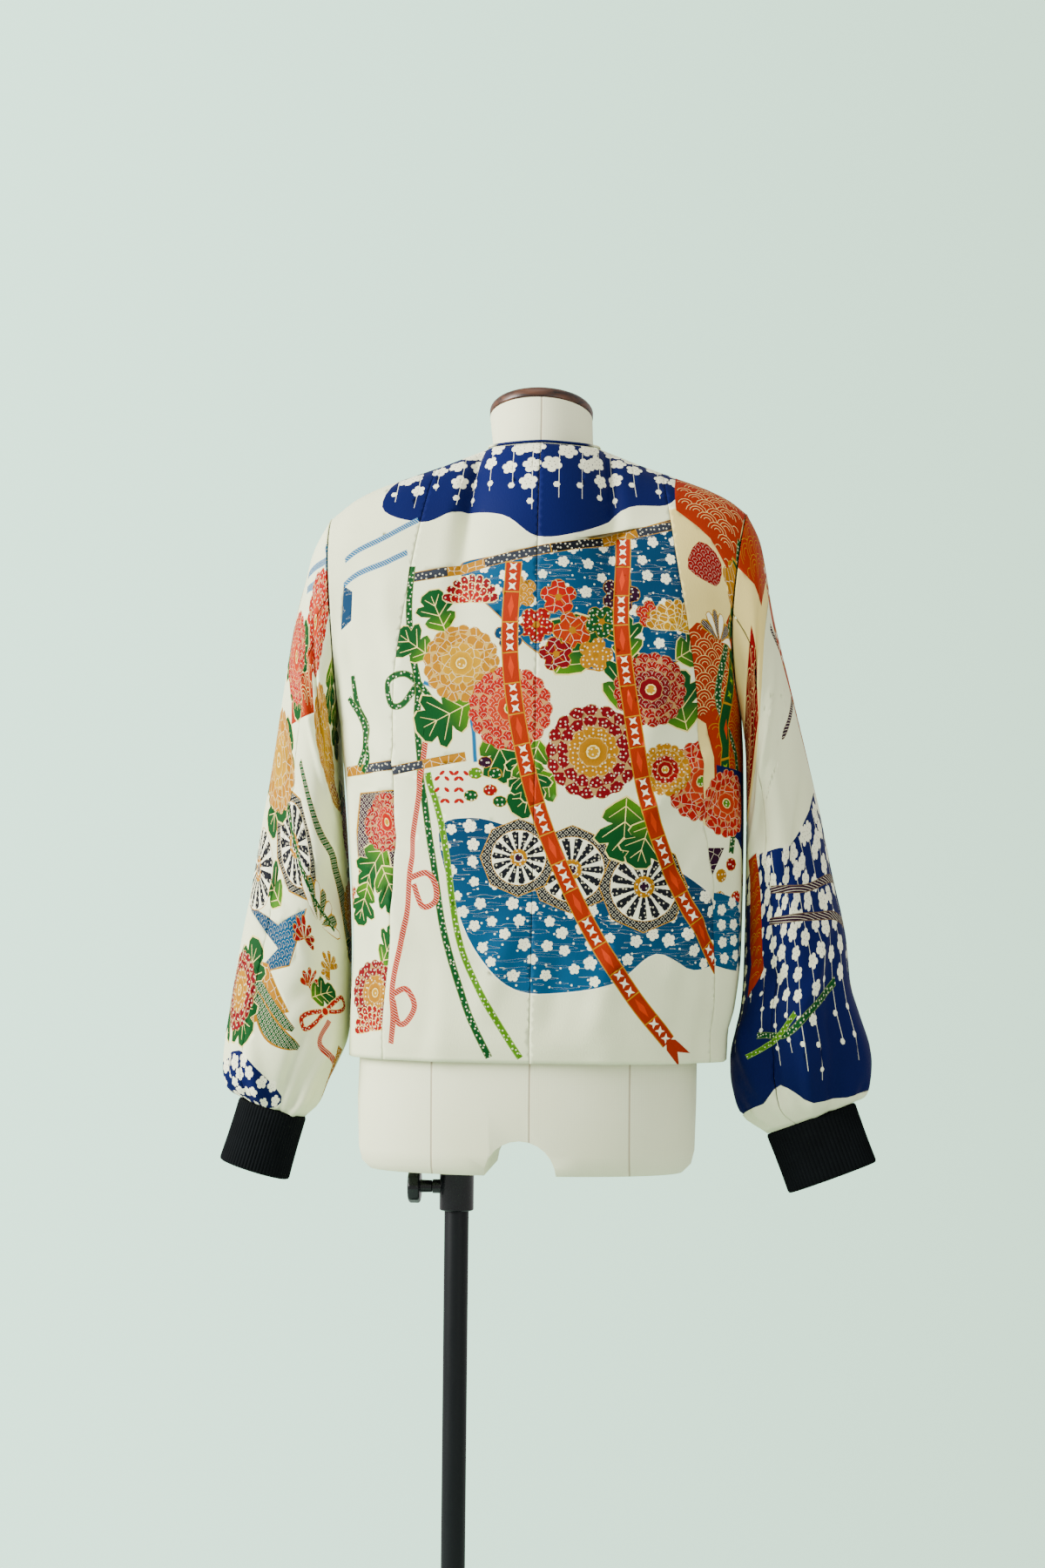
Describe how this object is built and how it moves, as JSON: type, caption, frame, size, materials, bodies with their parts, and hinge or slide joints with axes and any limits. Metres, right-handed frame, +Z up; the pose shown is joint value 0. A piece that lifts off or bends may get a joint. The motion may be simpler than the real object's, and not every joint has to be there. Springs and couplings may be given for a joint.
{
  "type": "kimono jacket on a dress form",
  "caption": "Short bloused jacket of printed kimono crepe with long sleeves gathered into ribbed cuffs, on a limbless linen dress form on a pole stand.",
  "frame": {"origin": "on the floor, under the jacket's centre line and its shoulder seams", "axes": "+Z up, -Y towards the jacket's front, +X towards the wearer's left"},
  "size_m": [0.6729, 0.41, 1.4727],
  "materials": {
    "printed_crepe": "dyed silk crepe, matte with a soft sheen",
    "rib_knit": "matte ribbed knit",
    "form_linen": "matte woven linen",
    "walnut": "satin varnish",
    "black_steel": "semi-gloss black paint",
    "black_plastic": "gloss"
  },
  "bodies": {
    "stand": {"stand_base": "black_steel", "pole": "black_steel"},
    "form": {"form_body": "form_linen", "neck_cap": "walnut", "socket": "black_plastic", "back_left": "printed_crepe", "back_right": "printed_crepe", "back_side_left": "printed_crepe", "back_side_right": "printed_crepe", "front_left": "printed_crepe", "front_right": "printed_crepe", "sleeve_top_left": "printed_crepe", "sleeve_top_right": "printed_crepe", "sleeve_under_left": "printed_crepe", "sleeve_under_right": "printed_crepe", "cuff_left": "rib_knit", "cuff_right": "rib_knit", "neck_binding": "printed_crepe"},
    "knob": {"knob": "black_plastic"}
  },
  "joints": [
    {"name": "height_slide", "type": "slide", "parent": "stand", "child": "form", "axis": [0, 0, 1], "range_m": [-0.15, 0.1]},
    {"name": "clamp_turn", "type": "hinge", "parent": "form", "child": "knob", "pos_m": [0.12, 0, 0.658], "axis": [1, 0, 0], "range_deg": [0, 360]}
  ]
}
